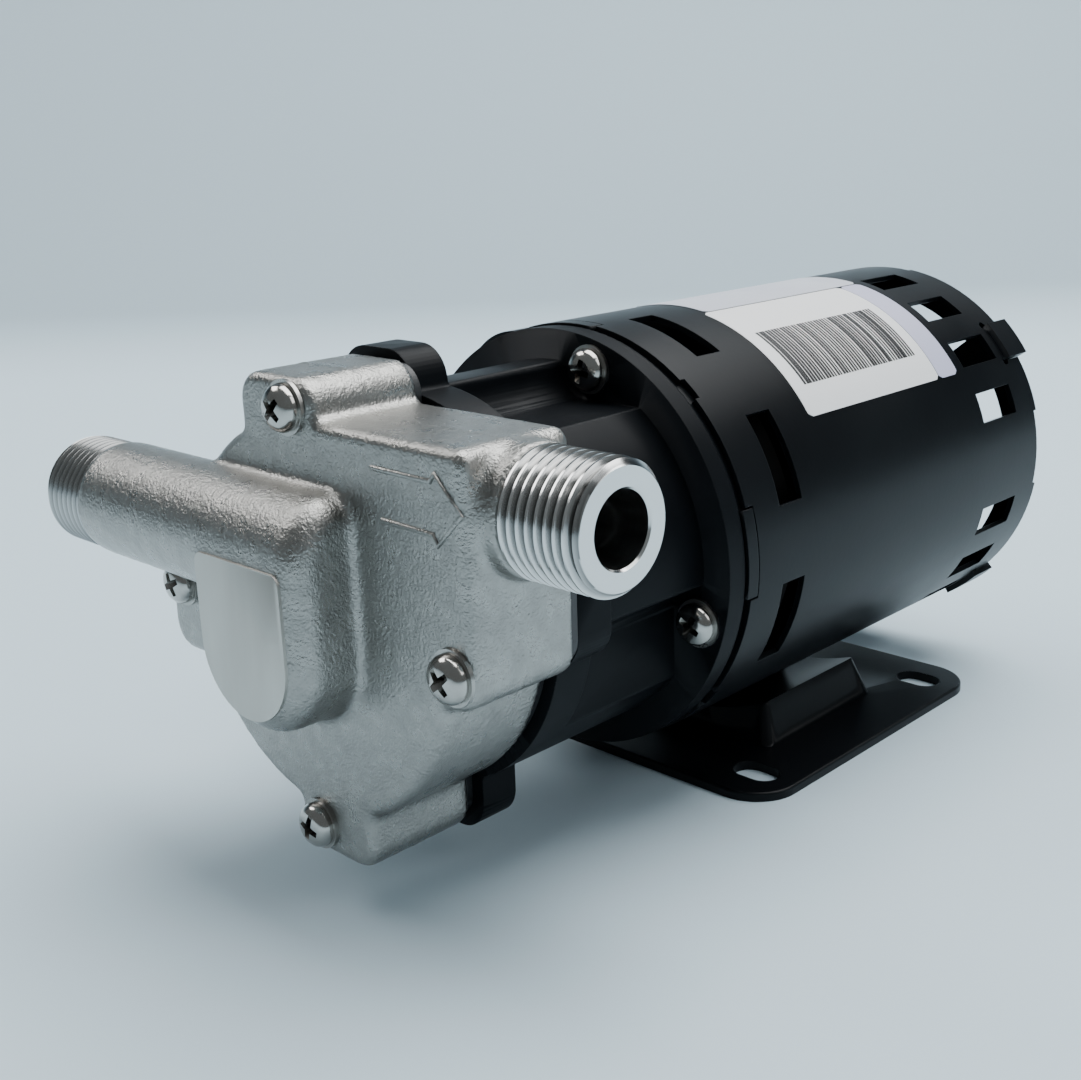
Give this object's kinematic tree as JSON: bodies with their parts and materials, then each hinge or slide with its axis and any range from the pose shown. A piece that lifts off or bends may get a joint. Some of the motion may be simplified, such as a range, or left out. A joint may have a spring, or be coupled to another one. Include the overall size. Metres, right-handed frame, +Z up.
{
  "type": "magnetic drive pump",
  "caption": "Small centrifugal pump with a cast head and threaded ports, driven through a magnetic coupling by an open motor on a pressed foot.",
  "frame": {"origin": "centre of the foot's four slots, on the face that the foot stands on", "axes": "X across the pump towards the outlet, Y along the shaft from the head to the motor's rear, Z up"},
  "size_m": [0.1265, 0.1996, 0.0955],
  "materials": {
    "head_casting": "fine cast, blasted",
    "black_moulding": "satin moulded",
    "black_paint": "semi-gloss",
    "screw_steel": "plain",
    "plated_steel": "dull plating",
    "dark_steel": "blackened",
    "shaft_steel": "ground",
    "laminations": "stacked sheet",
    "zinc_casting": "die cast",
    "winding": "enamelled copper",
    "magnet": "sintered ferrite",
    "ceramic": "ground",
    "bush": "carbon",
    "can_plastic": "moulded",
    "fan_plastic": "moulded",
    "gland_plastic": "moulded",
    "capacitor_case": "smooth",
    "rubber": "moulded"
  },
  "bodies": {
    "pump_frame": {"pump_head": "head_casting", "head_o_ring": "rubber", "separator_can": "can_plastic", "impeller_shaft": "ceramic", "front_thrust_washer": "ceramic", "rear_thrust_washer": "ceramic", "head_screws": "screw_steel", "head_screw_washers": "screw_steel", "adapter_bracket": "black_moulding", "adapter_screws": "screw_steel", "adapter_screw_washers": "screw_steel", "front_bearing_outer": "shaft_steel", "rear_bearing_outer": "shaft_steel", "stator_core": "laminations", "stator_windings": "winding", "front_end_shield": "black_paint", "rear_end_bracket": "black_paint", "motor_shell": "black_paint", "mounting_foot": "black_paint", "terminal_box": "black_moulding", "terminal_box_lid": "black_moulding", "lid_screws": "screw_steel", "box_fixing_screws": "screw_steel", "cable_gland": "gland_plastic", "gland_lock_nut": "gland_plastic", "run_capacitor": "capacitor_case", "terminal_block": "fan_plastic", "wire_grommet": "rubber"},
    "rotor": {"motor_shaft": "shaft_steel", "rotor_core": "laminations", "rotor_end_rings": "zinc_casting", "cooling_fan": "fan_plastic", "fan_clip": "dark_steel", "bearing_inner_races": "shaft_steel", "drive_cup": "plated_steel", "drive_magnets": "magnet", "drive_cup_set_screw": "dark_steel"},
    "impeller_group": {"impeller": "can_plastic", "impeller_bush": "bush", "driven_magnet": "magnet", "magnet_cap": "can_plastic"}
  },
  "joints": [
    {"name": "rotor_spin", "type": "hinge", "parent": "pump_frame", "child": "rotor", "pos_m": [0, 0, 0.052], "axis": [0, 1, 0], "continuous": true},
    {"name": "impeller_spin", "type": "hinge", "parent": "pump_frame", "child": "impeller_group", "pos_m": [0, 0, 0.052], "axis": [0, 1, 0], "continuous": true}
  ],
  "couplings": [
    {"joint": "impeller_spin", "follows": "rotor_spin", "ratio": 1}
  ]
}
